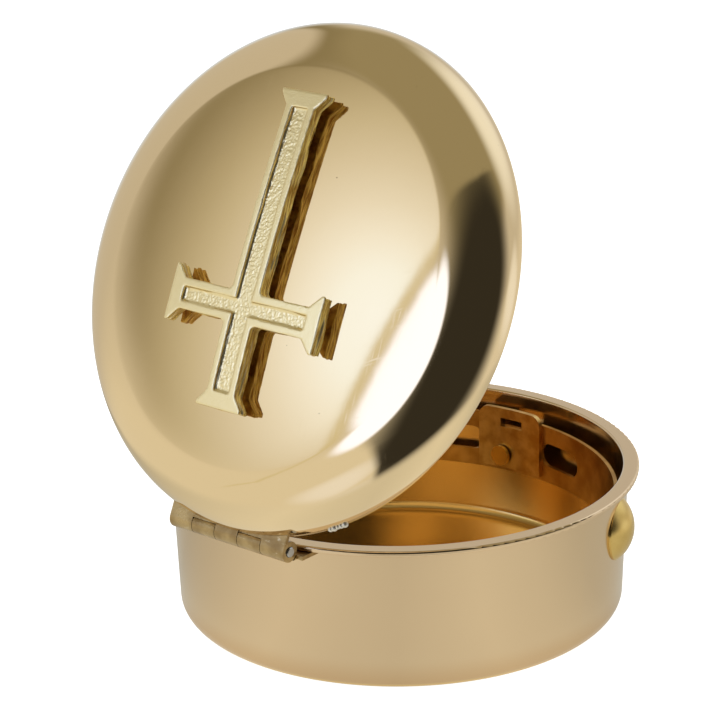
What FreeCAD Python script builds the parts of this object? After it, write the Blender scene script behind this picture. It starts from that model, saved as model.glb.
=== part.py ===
import FreeCAD, Part
import os

import Sketcher
from FreeCAD import Vector

# A small round hinged box of spun brass sheet. Millimetres, +Z up. The origin is the
# centre of the underside, the hinge pin runs along X behind the box (-Y) and the latch
# and its push button are opposite it (+Y). The lid stands partly open. Every lid piece
# is drawn closed, with z = 0 at the lid's rim, and one placement swings them all open.

SIZES = [
    ("body_height", 15.6, "underside to the top of the lip"),
    ("lip_radius", 25.0, "outer radius of the out-turned lip"),
    ("lip_thickness", 0.6, "height of the lip"),
    ("lip_width", 1.1, "lip's edge to the wall under it"),
    ("wall_draft", 0.5, "how much less the wall's radius is at the floor"),
    ("wall_thickness", 0.6, "sheet thickness of the wall"),
    ("floor_thickness", 0.6, "sheet thickness of the floor"),
    ("base_corner_radius", 1.6, "outer radius of the floor's corner"),
    ("lip_edge_radius", 0.22, "rounding of the lip's edges"),
    ("lid_overhang", 0.45, "lip's edge to the lid's skirt"),
    ("dome_radius", 200.0, "radius of the shallow dome"),
    ("slope_foot", 2.8, "rim to the foot of the lid's slope, before rounding"),
    ("slope_top", 5.05, "rim to the top of the lid's slope, before rounding"),
    ("slope_width", 3.45, "width of the lid's slope, before rounding"),
    ("shoulder_radius", 3.8, "radius between skirt and slope"),
    ("blend_radius", 8.0, "radius between slope and dome"),
    ("edge_share", 0.635, "inner slope's top, as a share of the slope's own offset"),
    ("lid_thickness", 0.7, "sheet thickness of the lid"),
    ("lid_angle", 64.1, "degrees that the lid stands open"),
    ("seat_gap", 0.1, "lip to the closed lid's rim"),
    ("ring_width", 1.05, "width of the seat ring inside the lid's rim"),
    ("ring_thickness", 0.6, "height of the seat ring"),
    ("hinge_standoff", 0.87, "lip's edge to the hinge pin's axis"),
    ("knuckle_length", 3.0, "pitch of the hinge's knuckles"),
    ("knuckle_play", 0.06, "gap between neighbouring knuckles"),
    ("leaf_thickness", 0.4, "sheet thickness of the hinge leaves"),
    ("leaf_overhang", 0.7, "body leaf past the end knuckle"),
    ("leaf_depth", 3.0, "pin to the lid leaf's inner edge"),
    ("hinge_clearance", 0.1, "free gap round a turning knuckle"),
    ("pin_radius", 0.5, "hinge pin"),
    ("pin_play", 0.04, "radial gap in the lid's knuckles"),
    ("pin_stub", 0.15, "pin past the end knuckles"),
    ("spring_drop", 2.1, "top of the lip down to the spring's upper edge"),
    ("spring_height", 6.5, "width of the spring strip"),
    ("spring_thickness", 0.4, "thickness of the spring strip"),
    ("spring_standoff", 1.2, "gap behind the spring at the latch"),
    ("contact_gap", 0.02, "left between pieces that touch"),
    ("slot_angle", 16.0, "degrees from the latch to a slot's middle"),
    ("slot_length", 6.2, "slot in the spring, end to end"),
    ("slot_height", 2.7, "slot in the spring"),
    ("rivet_angle", 70.0, "degrees from the latch to a spring rivet"),
    ("rivet_drop", 5.1, "top of the lip down to the rivet's axis"),
    ("rivet_radius", 3.25, "domed rivet head"),
    ("rivet_rise", 1.5, "height of the rivet's dome"),
    ("rivet_shank", 1.1, "radius of the rivet's shank"),
    ("rivet_tail", 1.8, "radius of the rivet's peened end"),
    ("tail_height", 0.4, "thickness of a peened end"),
    ("pad_angle", 6.0, "half the degrees that a spring pad spans"),
    ("plate_turn", 2.65, "degrees from the latch to the plate's middle"),
    ("plate_span", 20.0, "degrees that the catch plate spans"),
    ("plate_drop", 1.1, "top of the lip down to the plate's upper edge"),
    ("plate_height", 7.0, "height of the catch plate"),
    ("plate_thickness", 0.5, "thickness of the catch plate"),
    ("plate_corner_radius", 1.2, "rounding of the plate's upper corners"),
    ("button_shift", 2.2, "button axis to the box's middle plane"),
    ("button_drop", 6.6, "top of the lip down to the button's axis"),
    ("button_travel", 1.0, "how far the button goes in"),
    ("button_gap", 0.05, "pressed button to the wall"),
    ("button_radius", 2.3, "button head"),
    ("button_rise", 1.1, "height of the button's dome"),
    ("stem_radius", 1.2, "button stem"),
    ("stem_play", 0.12, "radial gap round the stem in the wall"),
    ("tail_radius", 0.8, "button's tail in spring and plate"),
    ("burr_radius", 1.15, "button's peened end"),
    ("catch_shift", 1.0, "catch's middle to the box's middle plane"),
    ("catch_width", 3.4, "width of the lid's catch"),
    ("catch_thickness", 0.45, "sheet thickness of the catch"),
    ("catch_clearance", 0.19, "catch to the mouth, and catch to the lid's skirt"),
    ("catch_drop", 3.2, "rim to the catch's tip"),
    ("nib_width", 2.2, "width of the catch's nib"),
    ("nib_height", 0.7, "height of the catch's nib"),
    ("nib_bite", 0.4, "nib's reach into the plate's window"),
    ("nib_play", 0.15, "gap round the nib in the window"),
    ("cross_shift", 0.35, "cross's middle to the lid's middle plane"),
    ("cross_top", 17.1, "dome's middle to the long arm's end"),
    ("cross_foot", 14.5, "dome's middle to the short arm's end"),
    ("cross_arm", 9.5, "middle to the end of a side arm"),
    ("cross_level", 4.5, "side arms' centreline off the middle"),
    ("cross_thickness", 1.5, "thickness of the cross"),
    ("cross_gap", 0.4, "gap between the dome and the cross"),
    ("shaft_width", 3.6, "width of the upright"),
    ("arm_width", 3.1, "width of the side arms"),
    ("flare_width", 5.7, "width of an arm's flared end"),
    ("flare_length", 1.7, "length of an arm's flare"),
    ("flare_edge", 0.45, "thickness of the flare's tip"),
    ("cross_border", 0.85, "raised border round the sunk channel"),
    ("channel_depth", 0.35, "depth of the sunk channel"),
    ("crotch_round", 0.5, "rounding where the arms meet"),
    ("stud_offset", 9.0, "dome's middle to a mounting stud"),
    ("stud_radius", 0.7, "mounting stud"),
    ("stud_head", 1.2, "radius of a stud's peened end"),
    ("bead_turn", 150.5, "degrees from the latch to the solder bead"),
    ("bead_radius", 0.34, "radius of the solder bead's lobes"),
    ("bead_pitch", 0.42, "spacing of the solder bead's lobes"),
]

KNUCKLES = 5
BEAD_LOBES = 5
NEAR = 0.001
PAST = "1"

doc = FreeCAD.newDocument("pill_box")
sheet = doc.addObject("Spreadsheet::Sheet", "sizes")
for row, (alias, value, note) in enumerate(SIZES, start=1):
    sheet.set(f"A{row}", note)
    sheet.set(f"B{row}", str(value))
    sheet.setAlias(f"B{row}", alias)
doc.recompute()


def size(name):
    return f"sizes.{name}"


def number(expression):
    return float(sheet.evalExpression(expression))


# Lengths that follow from the sheet.
WALL_TOP = f"({size('lip_radius')} - {size('lip_width')})"
WALL_BASE = f"({WALL_TOP} - {size('wall_draft')})"
LID_RADIUS = f"({size('lip_radius')} + {size('lid_overhang')})"
LID_BORE = f"({LID_RADIUS} - {size('lid_thickness')})"
HINGE_OFFSET = f"({size('lip_radius')} + {size('hinge_standoff')})"
SPRING_BOTTOM = f"({size('body_height')} - {size('spring_drop')} - {size('spring_height')})"
RIVET_LEVEL = f"({size('body_height')} - {size('rivet_drop')})"
PLATE_BOTTOM = f"({size('body_height')} - {size('plate_drop')} - {size('plate_height')})"
BUTTON_LEVEL = f"({size('body_height')} - {size('button_drop')})"
KNUCKLE_RADIUS = f"({size('lip_thickness')} + {size('leaf_thickness')} + {size('seat_gap')} / 2)"
PIVOT_LEVEL = f"({size('body_height')} + {size('seat_gap')} / 2)"
HINGE_HALF = f"({KNUCKLES} * {size('knuckle_length')} / 2)"
LIP_UNDERSIDE = f"({size('body_height')} - {size('lip_thickness')})"
TAPER = f"({size('wall_draft')} / {LIP_UNDERSIDE})"
MOUTH_RADIUS = f"({WALL_TOP} - {size('wall_thickness')})"
PAD_RADIUS = (f"({WALL_BASE} - {size('wall_thickness')}"
              f" + {TAPER} * {SPRING_BOTTOM} - {size('contact_gap')})")
SPRING_FRONT = f"({PAD_RADIUS} - {size('spring_standoff')})"
BOW_RADIUS = (f"(({PAD_RADIUS} ^ 2 + {SPRING_FRONT} ^ 2 - 2 * {PAD_RADIUS} * {SPRING_FRONT}"
              f" * cos({size('rivet_angle')} - {size('pad_angle')})) / (2 * ({SPRING_FRONT}"
              f" - {PAD_RADIUS} * cos({size('rivet_angle')} - {size('pad_angle')}))))")
BOW_CENTRE = f"({SPRING_FRONT} - {BOW_RADIUS})"
PLATE_FRONT = f"({SPRING_FRONT} - {size('spring_thickness')})"
PLATE_BACK = f"({PLATE_FRONT} - {size('plate_thickness')})"
RING_BORE = f"({LID_BORE} - {size('ring_width')})"
SLOPE_EDGE = f"({LID_RADIUS} - {size('slope_width')})"
DOME_CENTRE = f"({size('slope_top')} - sqrt({size('dome_radius')} ^ 2 - {SLOPE_EDGE} ^ 2))"
LID_HEIGHT = f"({DOME_CENTRE} + {size('dome_radius')})"
CROSS_BACK = f"({size('dome_radius')} + {size('cross_gap')})"
CROSS_FACE = f"({CROSS_BACK} + {size('cross_thickness')})"
NIB_BASE = f"({size('body_height')} + {size('seat_gap')} - {size('catch_drop')})"
WINDOW_BASE = f"({NIB_BASE} - {size('nib_play')})"
WINDOW_HEIGHT = f"({size('nib_height')} + 2 * {size('nib_play')})"
WINDOW_WIDTH = f"({size('nib_width')} + 4 * {size('nib_play')})"
LID_RISE = f"({HINGE_OFFSET} * sin({size('lid_angle')}))"
LID_REACH = f"({HINGE_OFFSET} * cos({size('lid_angle')}) - {HINGE_OFFSET})"
HALF_GAP = f"({size('seat_gap')} / 2)"


def at(x="0", y="0", z="0", yaw="0", roll="0"):
    return f"placement(vector({x}; {y}; {z}); rotation({yaw}; 0; {roll}))"


LID_PLACE = at(
    y=f"{LID_REACH} - {HALF_GAP} * sin({size('lid_angle')})",
    z=f"{PIVOT_LEVEL} + {LID_RISE} + {HALF_GAP} * cos({size('lid_angle')})",
    roll=size("lid_angle"))


def bind(thing, **expressions):
    for name, expression in expressions.items():
        thing.setExpression(name, expression)
    return thing


def plane(body, role):
    return next(part for part in body.Origin.OriginFeatures if part.Role == role)


def new_sketch(body, name, role, offset="0"):
    sketch = body.newObject("Sketcher::SketchObject", name)
    sketch.AttachmentSupport = [(plane(body, role), "")]
    sketch.MapMode = "FlatFace"
    sketch.setExpression("AttachmentOffset", at(z=offset))
    return sketch


def fix_point(sketch, shape, end, x, y):
    """Hold one end of a sketch line at (x, y), each an expression."""
    for kind, axis, place in (("DistanceX", -2, x), ("DistanceY", -1, y)):
        if place == "0":
            sketch.addConstraint(Sketcher.Constraint("PointOnObject", shape, end, axis))
        else:
            rule = Sketcher.Constraint(kind, -1, 1, shape, end, number(place))
            sketch.setExpression(f"Constraints[{sketch.addConstraint(rule)}]", place)


def outline(sketch, corners):
    """A closed outline of straight lines through corners given as expressions."""
    spots = [Vector(number(x), number(y), 0) for x, y in corners]
    first = sketch.GeometryCount
    count = len(spots)
    sketch.addGeometry([Part.LineSegment(spots[i], spots[(i + 1) % count]) for i in range(count)])
    for i in range(count):
        nearby = first + (i + 1) % count
        sketch.addConstraint(Sketcher.Constraint("Coincident", first + i, 2, nearby, 1))
    for i, (x, y) in enumerate(corners):
        fix_point(sketch, first + i, 1, x, y)


def circle(sketch, radius, x="0", y="0"):
    middle = Vector(number(x), number(y), 0)
    shape = sketch.addGeometry(Part.Circle(middle, Vector(0, 0, 1), number(radius)))
    rule = sketch.addConstraint(Sketcher.Constraint("Radius", shape, number(radius)))
    sketch.setExpression(f"Constraints[{rule}]", radius)
    fix_point(sketch, shape, 3, x, y)


def dome_outline(sketch, radius, foot, edge, height, dome):
    """Half the section of a lid: base line, upright rim, slope, dome arc and axis."""
    middle = number(height) - number(dome)
    arc = Part.Circle(Vector(0, middle, 0), Vector(0, 0, 1), number(dome))
    rim = Vector(number(radius), number(foot), 0)
    ridge = Vector(number(edge), middle + (number(dome) ** 2 - number(edge) ** 2) ** 0.5, 0)
    top = Vector(0, number(height), 0)
    sketch.addGeometry([
        Part.LineSegment(Vector(0, 0, 0), Vector(rim.x, 0, 0)),
        Part.LineSegment(Vector(rim.x, 0, 0), rim),
        Part.LineSegment(rim, ridge),
        Part.ArcOfCircle(arc, arc.parameter(ridge), arc.parameter(top)),
        Part.LineSegment(top, Vector(0, 0, 0)),
    ])
    for line in range(5):
        meeting = Sketcher.Constraint("Coincident", line, 2, (line + 1) % 5, 1)
        sketch.addConstraint(meeting)
    sketch.addConstraint(Sketcher.Constraint("Coincident", 0, 1, -1, 1))
    sketch.addConstraint(Sketcher.Constraint("Vertical", 1))
    sketch.addConstraint(Sketcher.Constraint("PointOnObject", 3, 3, -2))
    fix_point(sketch, 1, 1, radius, "0")
    fix_point(sketch, 4, 1, "0", height)
    for point, index, way, expression in ((2, 1, "DistanceY", foot), (2, 2, "DistanceX", edge)):
        rule = Sketcher.Constraint(way, -1, 1, point, index, number(expression))
        index = sketch.addConstraint(rule)
        sketch.setExpression(f"Constraints[{index}]", expression)
    rule = sketch.addConstraint(Sketcher.Constraint("Radius", 3, number(dome)))
    sketch.setExpression(f"Constraints[{rule}]", dome)


def pad(body, sketch, length):
    feature = body.newObject("PartDesign::Pad", sketch.Name + "_pad")
    feature.Profile = sketch
    return bind(feature, Length=length)


def pocket(body, sketch, length, reverse=False):
    feature = body.newObject("PartDesign::Pocket", sketch.Name + "_pocket")
    feature.Profile = sketch
    feature.Reversed = reverse
    return bind(feature, Length=length)


def spin(body, sketch, kind="Revolution"):
    feature = body.newObject("PartDesign::" + kind, sketch.Name + "_turned")
    feature.Profile = sketch
    feature.ReferenceAxis = (sketch, ["V_Axis"])
    feature.Angle = 360
    return feature


def soften(body, feature, name, edges, radius):
    fillet = body.newObject("PartDesign::Fillet", name)
    fillet.Base = (feature, edges)
    bind(fillet, Radius=radius)
    doc.recompute()
    return fillet


def rings(feature, radius, level):
    """Names of the feature's circular edges of this radius round Z at this level."""
    doc.recompute()
    found = []
    for index, edge in enumerate(feature.Shape.Edges, start=1):
        if edge.Degenerated or not isinstance(edge.Curve, Part.Circle):
            continue
        same_size = abs(edge.Curve.Radius - number(radius)) < NEAR
        same_level = abs(edge.Curve.Center.z - number(level)) < NEAR
        if same_size and same_level and abs(edge.Curve.Axis.z) > 0.5:
            found.append(f"Edge{index}")
    return found


def uprights(feature, spots):
    """Names of the feature's straight vertical edges at the given (x, y) places."""
    doc.recompute()
    found = []
    for index, edge in enumerate(feature.Shape.Edges, start=1):
        middle = edge.BoundBox.Center
        if edge.BoundBox.ZLength < NEAR or edge.BoundBox.DiagonalLength - edge.BoundBox.ZLength > NEAR:
            continue
        for x, y in spots:
            if abs(middle.x - number(x)) < NEAR and abs(middle.y - number(y)) < NEAR:
                found.append(f"Edge{index}")
    return found


def drill(body, name, radius, length, place):
    hole = body.newObject("PartDesign::SubtractiveCylinder", name)
    return bind(hole, Radius=radius, Height=length, Placement=place)


def solid(kind, name, **expressions):
    return bind(doc.addObject("Part::" + kind, name), **expressions)


def cylinder(name, radius, height, place):
    return solid("Cylinder", name, Radius=radius, Height=height, Placement=place)


def block(name, length, width, height, place):
    return solid("Box", name, Length=length, Width=width, Height=height, Placement=place)


def cut(name, base, *tools):
    feature = doc.addObject("Part::Cut", name)
    feature.Base = base
    feature.Tool = join(name + "_tools", *tools) if len(tools) > 1 else tools[0]
    return feature


def join(name, *shapes):
    feature = doc.addObject("Part::MultiFuse", name)
    feature.Shapes = list(shapes)
    feature.Refine = True
    return feature


def common(name, base, tool):
    feature = doc.addObject("Part::Common", name)
    feature.Base = base
    feature.Tool = tool
    return feature


def wall_cone(name):
    """The solid inside the tapered wall's outer surface."""
    return solid("Cone", name, Radius1=WALL_BASE, Radius2=WALL_TOP, Height=LIP_UNDERSIDE)


def along_hinge(start, lift):
    """Place a cylinder with its length along X from start, on the hinge's pin."""
    return f"placement(vector({start}; -{HINGE_OFFSET}; {lift}); rotation(0; 90; 0))"


def body_cup():
    """Drawn brass cup with a tapered wall, a rounded floor and an out-turned lip."""
    body = doc.addObject("PartDesign::Body", "cup")
    section = new_sketch(body, "cup_section", "XZ_Plane")
    top = size("body_height")
    wall = size("wall_thickness")
    floor = size("floor_thickness")
    inner_base = f"{WALL_BASE} - {wall} + {TAPER} * {floor}"
    outline(section, [
        ("0", "0"),
        (WALL_BASE, "0"),
        (WALL_TOP, LIP_UNDERSIDE),
        (size("lip_radius"), LIP_UNDERSIDE),
        (size("lip_radius"), top),
        (MOUTH_RADIUS, top),
        (MOUTH_RADIUS, LIP_UNDERSIDE),
        (inner_base, floor),
        ("0", floor),
    ])
    shell = spin(body, section)
    corner = size("base_corner_radius")
    shell = soften(body, shell, "floor_corner", rings(shell, WALL_BASE, "0"), corner)
    inside = rings(shell, inner_base, floor)
    shell = soften(body, shell, "floor_inner_corner", inside, f"{corner} - {floor}")
    edges = rings(shell, size("lip_radius"), top) + rings(shell, size("lip_radius"), LIP_UNDERSIDE)
    edges += rings(shell, MOUTH_RADIUS, top)
    soften(body, shell, "lip_edges", edges, size("lip_edge_radius"))
    relief = f"{KNUCKLE_RADIUS} + {size('hinge_clearance')}"
    length = f"2 * {HINGE_HALF} + 2 * {size('hinge_clearance')}"
    start = f"-{HINGE_HALF} - {size('hinge_clearance')}"
    drill(body, "knuckle_relief", relief, length, along_hinge(start, PIVOT_LEVEL))
    for side, turn in (("right", "-"), ("left", "")):
        yaw = f"{turn}{size('rivet_angle')}"
        place = at(z=RIVET_LEVEL, yaw=yaw, roll="-90")
        drill(body, f"rivet_hole_{side}", size("rivet_shank"), f"{size('lip_radius')} + {PAST}", place)
    place = at(x=f"-{size('button_shift')}", z=BUTTON_LEVEL, roll="-90")
    bore = f"{size('stem_radius')} + {size('stem_play')}"
    drill(body, "button_hole", bore, f"{size('lip_radius')} + {PAST}", place)
    return body


def lid_shell():
    """Pressed lid: a shallow dome with a rounded shoulder and a short skirt."""
    body = doc.addObject("PartDesign::Body", "lid")
    sheet_size = size("lid_thickness")
    section = new_sketch(body, "lid_section", "XZ_Plane")
    dome_outline(section, LID_RADIUS, size("slope_foot"), SLOPE_EDGE, LID_HEIGHT, size("dome_radius"))
    spin(body, section)
    rise = f"({size('slope_top')} - {size('slope_foot')})"
    slope = f"sqrt({size('slope_width')} ^ 2 + {rise} ^ 2)"
    dome = f"({size('dome_radius')} - {sheet_size})"
    foot = f"({size('slope_foot')} + {sheet_size} * ({rise} - {slope}) / {size('slope_width')})"
    edge = f"({SLOPE_EDGE} - {sheet_size} * {rise} / {slope} * {size('edge_share')})"
    level = f"({DOME_CENTRE} + sqrt({dome} ^ 2 - {edge} ^ 2))"
    hollow = new_sketch(body, "lid_hollow", "XZ_Plane")
    dome_outline(hollow, LID_BORE, foot, edge, f"({LID_HEIGHT} - {sheet_size})", dome)
    shell = spin(body, hollow, "Groove")
    for name, radius, height, round_size in (
            ("inner_shoulder", LID_BORE, foot, f"{size('shoulder_radius')} - {sheet_size}"),
            ("inner_blend", edge, level, f"{size('blend_radius')} - {sheet_size}"),
            ("shoulder", LID_RADIUS, size("slope_foot"), size("shoulder_radius")),
            ("blend", SLOPE_EDGE, size("slope_top"), size("blend_radius"))):
        shell = soften(body, shell, name, rings(shell, radius, height), round_size)
    notch = new_sketch(body, "hinge_notch", "XY_Plane")
    half = f"({HINGE_HALF} + {size('hinge_clearance')})"
    near = f"-{HINGE_OFFSET} + {size('leaf_depth')} - {size('hinge_clearance')}"
    far = f"-{LID_RADIUS} - {PAST}"
    outline(notch, [(f"-{half}", near), (f"-{half}", far), (half, far), (half, near)])
    depth = f"{KNUCKLE_RADIUS} - {HALF_GAP} + {size('hinge_clearance')}"
    pocket(body, notch, depth, reverse=True)
    for side, sign in (("front", ""), ("back", "-")):
        place = at(x=size("cross_shift"), y=f"{sign}{size('stud_offset')}")
        drill(body, f"stud_hole_{side}", size("stud_radius"), f"{LID_HEIGHT} + {PAST}", place)
    bind(body, Placement=LID_PLACE)
    return body


def lid_ring():
    """Flat ring soldered inside the lid's rim; it lands on the lip and carries the hinge."""
    body = doc.addObject("PartDesign::Body", "ring")
    section = new_sketch(body, "ring_section", "XY_Plane")
    circle(section, LID_BORE)
    circle(section, RING_BORE)
    pad(body, section, size("ring_thickness"))
    relief = f"{KNUCKLE_RADIUS} + {size('hinge_clearance')}"
    length = f"2 * {HINGE_HALF} + 2 * {size('hinge_clearance')}"
    start = f"-{HINGE_HALF} - {size('hinge_clearance')}"
    drill(body, "ring_relief", relief, length, along_hinge(start, f"-{HALF_GAP}"))
    bind(body, Placement=LID_PLACE)
    return body


def hinge_leaf(name, mine, level, leaf, bore):
    """A leaf rolled into knuckles: leaf is its flat sheet and mine numbers its knuckles."""
    shapes = [leaf]
    bores = []
    gaps = []
    for index in range(KNUCKLES):
        start = f"-{HINGE_HALF} + {index} * {size('knuckle_length')}"
        if index in mine:
            play = size("knuckle_play")
            place = along_hinge(f"{start} + {play} / 2", level)
            barrel = f"{size('knuckle_length')} - {play}"
            shapes.append(cylinder(f"{name}_knuckle_{index + 1}", KNUCKLE_RADIUS, barrel, place))
        else:
            play = size("knuckle_play")
            place = along_hinge(f"{start} - {play} / 2", level)
            room = f"{KNUCKLE_RADIUS} + {size('hinge_clearance')}"
            length = f"{size('knuckle_length')} + {play}"
            gaps.append(cylinder(f"{name}_gap_{index + 1}", room, length, place))
    place = along_hinge(f"-{HINGE_HALF} - {PAST}", level)
    bores.append(cylinder(f"{name}_bore", bore, f"2 * {HINGE_HALF} + 2 * {PAST}", place))
    return cut(name, join(f"{name}_blank", *shapes), *gaps, *bores)


def body_hinge_leaf():
    """Leaf soldered under the lip, with the second and fourth knuckles."""
    half = f"({HINGE_HALF} + {size('leaf_overhang')})"
    depth = f"{HINGE_OFFSET} - {WALL_BASE} + 4"
    lift = f"{LIP_UNDERSIDE} - {size('leaf_thickness')}"
    flat = block("body_leaf_flat", f"2 * {half}", depth, size("leaf_thickness"),
                 at(x=f"-{half}", y=f"-{HINGE_OFFSET}", z=lift))
    trimmed = cut("body_leaf_sheet", flat, wall_cone("body_leaf_trim"))
    overhangs = []
    for side, start in (("left", f"-{half} - {PAST}"), ("right", HINGE_HALF)):
        length = f"{size('leaf_overhang')} + {PAST}"
        width = f"{HINGE_OFFSET} - {WALL_TOP}"
        place = at(x=start, y=f"-{HINGE_OFFSET} - {PAST}", z=f"{lift} - {PAST}")
        overhangs.append(block(f"body_leaf_end_{side}", length, width, "3", place))
    leaf = cut("body_leaf_cut", trimmed, *overhangs)
    return hinge_leaf("body_leaf", (1, 3), PIVOT_LEVEL, leaf, size("pin_radius"))


def lid_hinge_leaf():
    """Leaf soldered on the lid's seat ring, with the first, third and fifth knuckles."""
    flat = block("lid_leaf_flat", f"2 * {HINGE_HALF} - {size('knuckle_play')}", size("leaf_depth"),
                 size("leaf_thickness"),
                 at(x=f"-{HINGE_HALF} + {size('knuckle_play')} / 2", y=f"-{HINGE_OFFSET}",
                    z=f"{KNUCKLE_RADIUS} - {HALF_GAP} - {size('leaf_thickness')}"))
    bore = f"{size('pin_radius')} + {size('pin_play')}"
    leaf = hinge_leaf("lid_leaf", (0, 2, 4), f"-{HALF_GAP}", flat, bore)
    return bind(leaf, Placement=LID_PLACE)


def hinge_pin():
    """Steel hinge pin, fast in the body's knuckles."""
    stub = f"({HINGE_HALF} + {size('pin_stub')})"
    rod = cylinder("pin_rod", size("pin_radius"), f"2 * {stub}", along_hinge(f"-{stub}", PIVOT_LEVEL))
    doc.recompute()
    pin = doc.addObject("Part::Chamfer", "pin")
    pin.Base = rod
    ends = [i for i, edge in enumerate(rod.Shape.Edges, 1) if isinstance(edge.Curve, Part.Circle)]
    bevel = number(size("pin_stub")) / 2
    pin.Edges = [(index, bevel, bevel) for index in ends]
    return pin


def band(name, outer, thickness, centre, start, sweep, level, height):
    """A curved strip: outer radius, bend centre on Y, from start over sweep degrees."""
    place = at(y=centre, z=level, yaw=start)
    sector = cylinder(f"{name}_sector", outer, height, place)
    bind(sector, Angle=sweep)
    core_place = at(y=centre, z=f"{level} - {PAST}")
    core = cylinder(f"{name}_core", f"{outer} - {thickness}", f"{height} + 2 * {PAST}", core_place)
    return cut(name, sector, core)


def capsule_cutter(name, length, height, level, turn):
    """A rounded slot cutter pointing outwards, turned from the latch by turn degrees."""
    reach = f"{size('lip_radius')} + {PAST}"
    straight = f"({length} - {height})"
    pieces = []
    for side, sign in (("a", "-"), ("b", "")):
        x = f"{sign}{straight} / 2 * cos({turn})"
        y = f"-({sign}{straight} / 2) * sin({turn})"
        place = at(x=x, y=y, z=level, yaw=f"-({turn})", roll="-90")
        pieces.append(cylinder(f"{name}_{side}", f"{height} / 2", reach, place))
    x = f"-{straight} / 2 * cos({turn})"
    y = f"{straight} / 2 * sin({turn})"
    place = at(x=x, y=y, z=f"{level} - {height} / 2", yaw=f"-({turn})")
    pieces.append(block(f"{name}_middle", straight, reach, height, place))
    return pieces


def catch_spring():
    """Bronze strip that bows off the wall at the latch and is riveted at both ends."""
    strip = size("spring_thickness")
    level = SPRING_BOTTOM
    height = size("spring_height")
    reach = f"({size('rivet_angle')} - {size('pad_angle')})"
    lean = f"(acos(({PAD_RADIUS} * cos({reach}) - {BOW_CENTRE}) / {BOW_RADIUS}) / 1 deg)"
    bow = band("spring_bow", BOW_RADIUS, strip, BOW_CENTRE, f"90 - {lean}", f"2 * {lean}", level, height)
    shapes = [bow]
    sweep = f"2 * {size('pad_angle')} + 1"
    for side, start in (("right", f"90 - {size('rivet_angle')} - {size('pad_angle')}"),
                        ("left", f"90 + {reach} - 1")):
        shapes.append(band(f"spring_pad_{side}", PAD_RADIUS, strip, "0", start, sweep, level, height))
    cutters = []
    middle = f"{level} + {height} / 2"
    turns = (("right", f"{size('slot_angle')}"), ("left", f"-{size('slot_angle')} - 2 * {size('plate_turn')}"))
    for side, turn in turns:
        cutters += capsule_cutter(f"slot_{side}", size("slot_length"), size("slot_height"), middle, turn)
    for side, sign in (("right", "-"), ("left", "")):
        place = at(z=RIVET_LEVEL, yaw=f"{sign}{size('rivet_angle')}", roll="-90")
        reach_out = f"{size('lip_radius')}"
        cutters.append(cylinder(f"spring_rivet_hole_{side}", size("rivet_shank"), reach_out, place))
    place = at(x=f"-{size('button_shift')}", z=BUTTON_LEVEL, roll="-90")
    cutters.append(cylinder("spring_tail_hole", size("tail_radius"), size("lip_radius"), place))
    place = at(x=f"-{size('catch_shift')} - {WINDOW_WIDTH} / 2", z=WINDOW_BASE)
    cutters.append(block("spring_notch", WINDOW_WIDTH, size("lip_radius"), height, place))
    return cut("spring", join("spring_blank", *shapes), *cutters)


def catch_plate():
    """Steel catch plate on the spring, with the window that the lid's nib snaps into."""
    start = f"90 + {size('plate_turn')} - {size('plate_span')} / 2"
    blank = band("plate_blank", f"{BOW_RADIUS} - {size('spring_thickness')}", size("plate_thickness"),
                 BOW_CENTRE, start, size("plate_span"), PLATE_BOTTOM, size("plate_height"))
    place = at(x=f"-{size('button_shift')}", z=BUTTON_LEVEL, roll="-90")
    tail_hole = cylinder("plate_tail_hole", size("tail_radius"), size("lip_radius"), place)
    place = at(x=f"-{size('catch_shift')} - {WINDOW_WIDTH} / 2", z=WINDOW_BASE)
    window = block("plate_window", WINDOW_WIDTH, size("lip_radius"), WINDOW_HEIGHT, place)
    pierced = cut("plate_pierced", blank, tail_hole, window)
    doc.recompute()
    plate = doc.addObject("Part::Fillet", "plate")
    plate.Base = pierced
    top = number(PLATE_BOTTOM) + number(size("plate_height"))
    corners = []
    for index, edge in enumerate(pierced.Shape.Edges, start=1):
        box = edge.BoundBox
        side = abs(box.Center.x + number(size("catch_shift"))) > number(WINDOW_WIDTH)
        if abs(box.Center.z - top) < NEAR and box.DiagonalLength < 2 * number(size("plate_thickness")) and side:
            corners.append(index)
    radius = number(size("plate_corner_radius"))
    plate.Edges = [(index, radius, radius) for index in corners]
    return plate


def push_button():
    """Domed button whose stem goes through the wall and is peened over the catch plate."""
    body = doc.addObject("PartDesign::Body", "button")
    shift = size("button_shift")
    wall = f"({WALL_BASE} + {TAPER} * ({BUTTON_LEVEL} + {size('button_radius')}))"
    outside = f"({wall} + {size('button_travel')} + {size('button_gap')})"
    seat = SPRING_FRONT
    sag = f"({shift} + {size('burr_radius')})"
    tail = (f"({BOW_CENTRE} + sqrt(({PLATE_BACK} - {BOW_CENTRE}) ^ 2 - {sag} ^ 2)"
            f" - {size('contact_gap')})")
    end = f"({tail} - {size('tail_height')})"
    dome = f"(({size('button_radius')} ^ 2 + {size('button_rise')} ^ 2) / (2 * {size('button_rise')}))"
    collar = f"({outside} + {size('wall_thickness')})"
    section = new_sketch(body, "button_section", "XY_Plane")
    outline(section, [
        ("0", end),
        (size("burr_radius"), end),
        (size("burr_radius"), tail),
        (size("tail_radius"), tail),
        (size("tail_radius"), seat),
        (size("stem_radius"), seat),
        (size("stem_radius"), outside),
        (size("button_radius"), outside),
        (size("button_radius"), collar),
        ("0", collar),
    ])
    spin(body, section)
    cap = body.newObject("PartDesign::AdditiveSphere", "button_dome")
    place = f"placement(vector(0; {collar} + {size('button_rise')} - {dome}; 0); rotation(0; 0; -90))"
    lowest = f"asin(({dome} - {size('button_rise')}) / {dome})"
    bind(cap, Radius=dome, Angle1=lowest, Angle2="90", Placement=place)
    bind(body, Placement=at(x=f"-{shift}", z=BUTTON_LEVEL))
    return body


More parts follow.
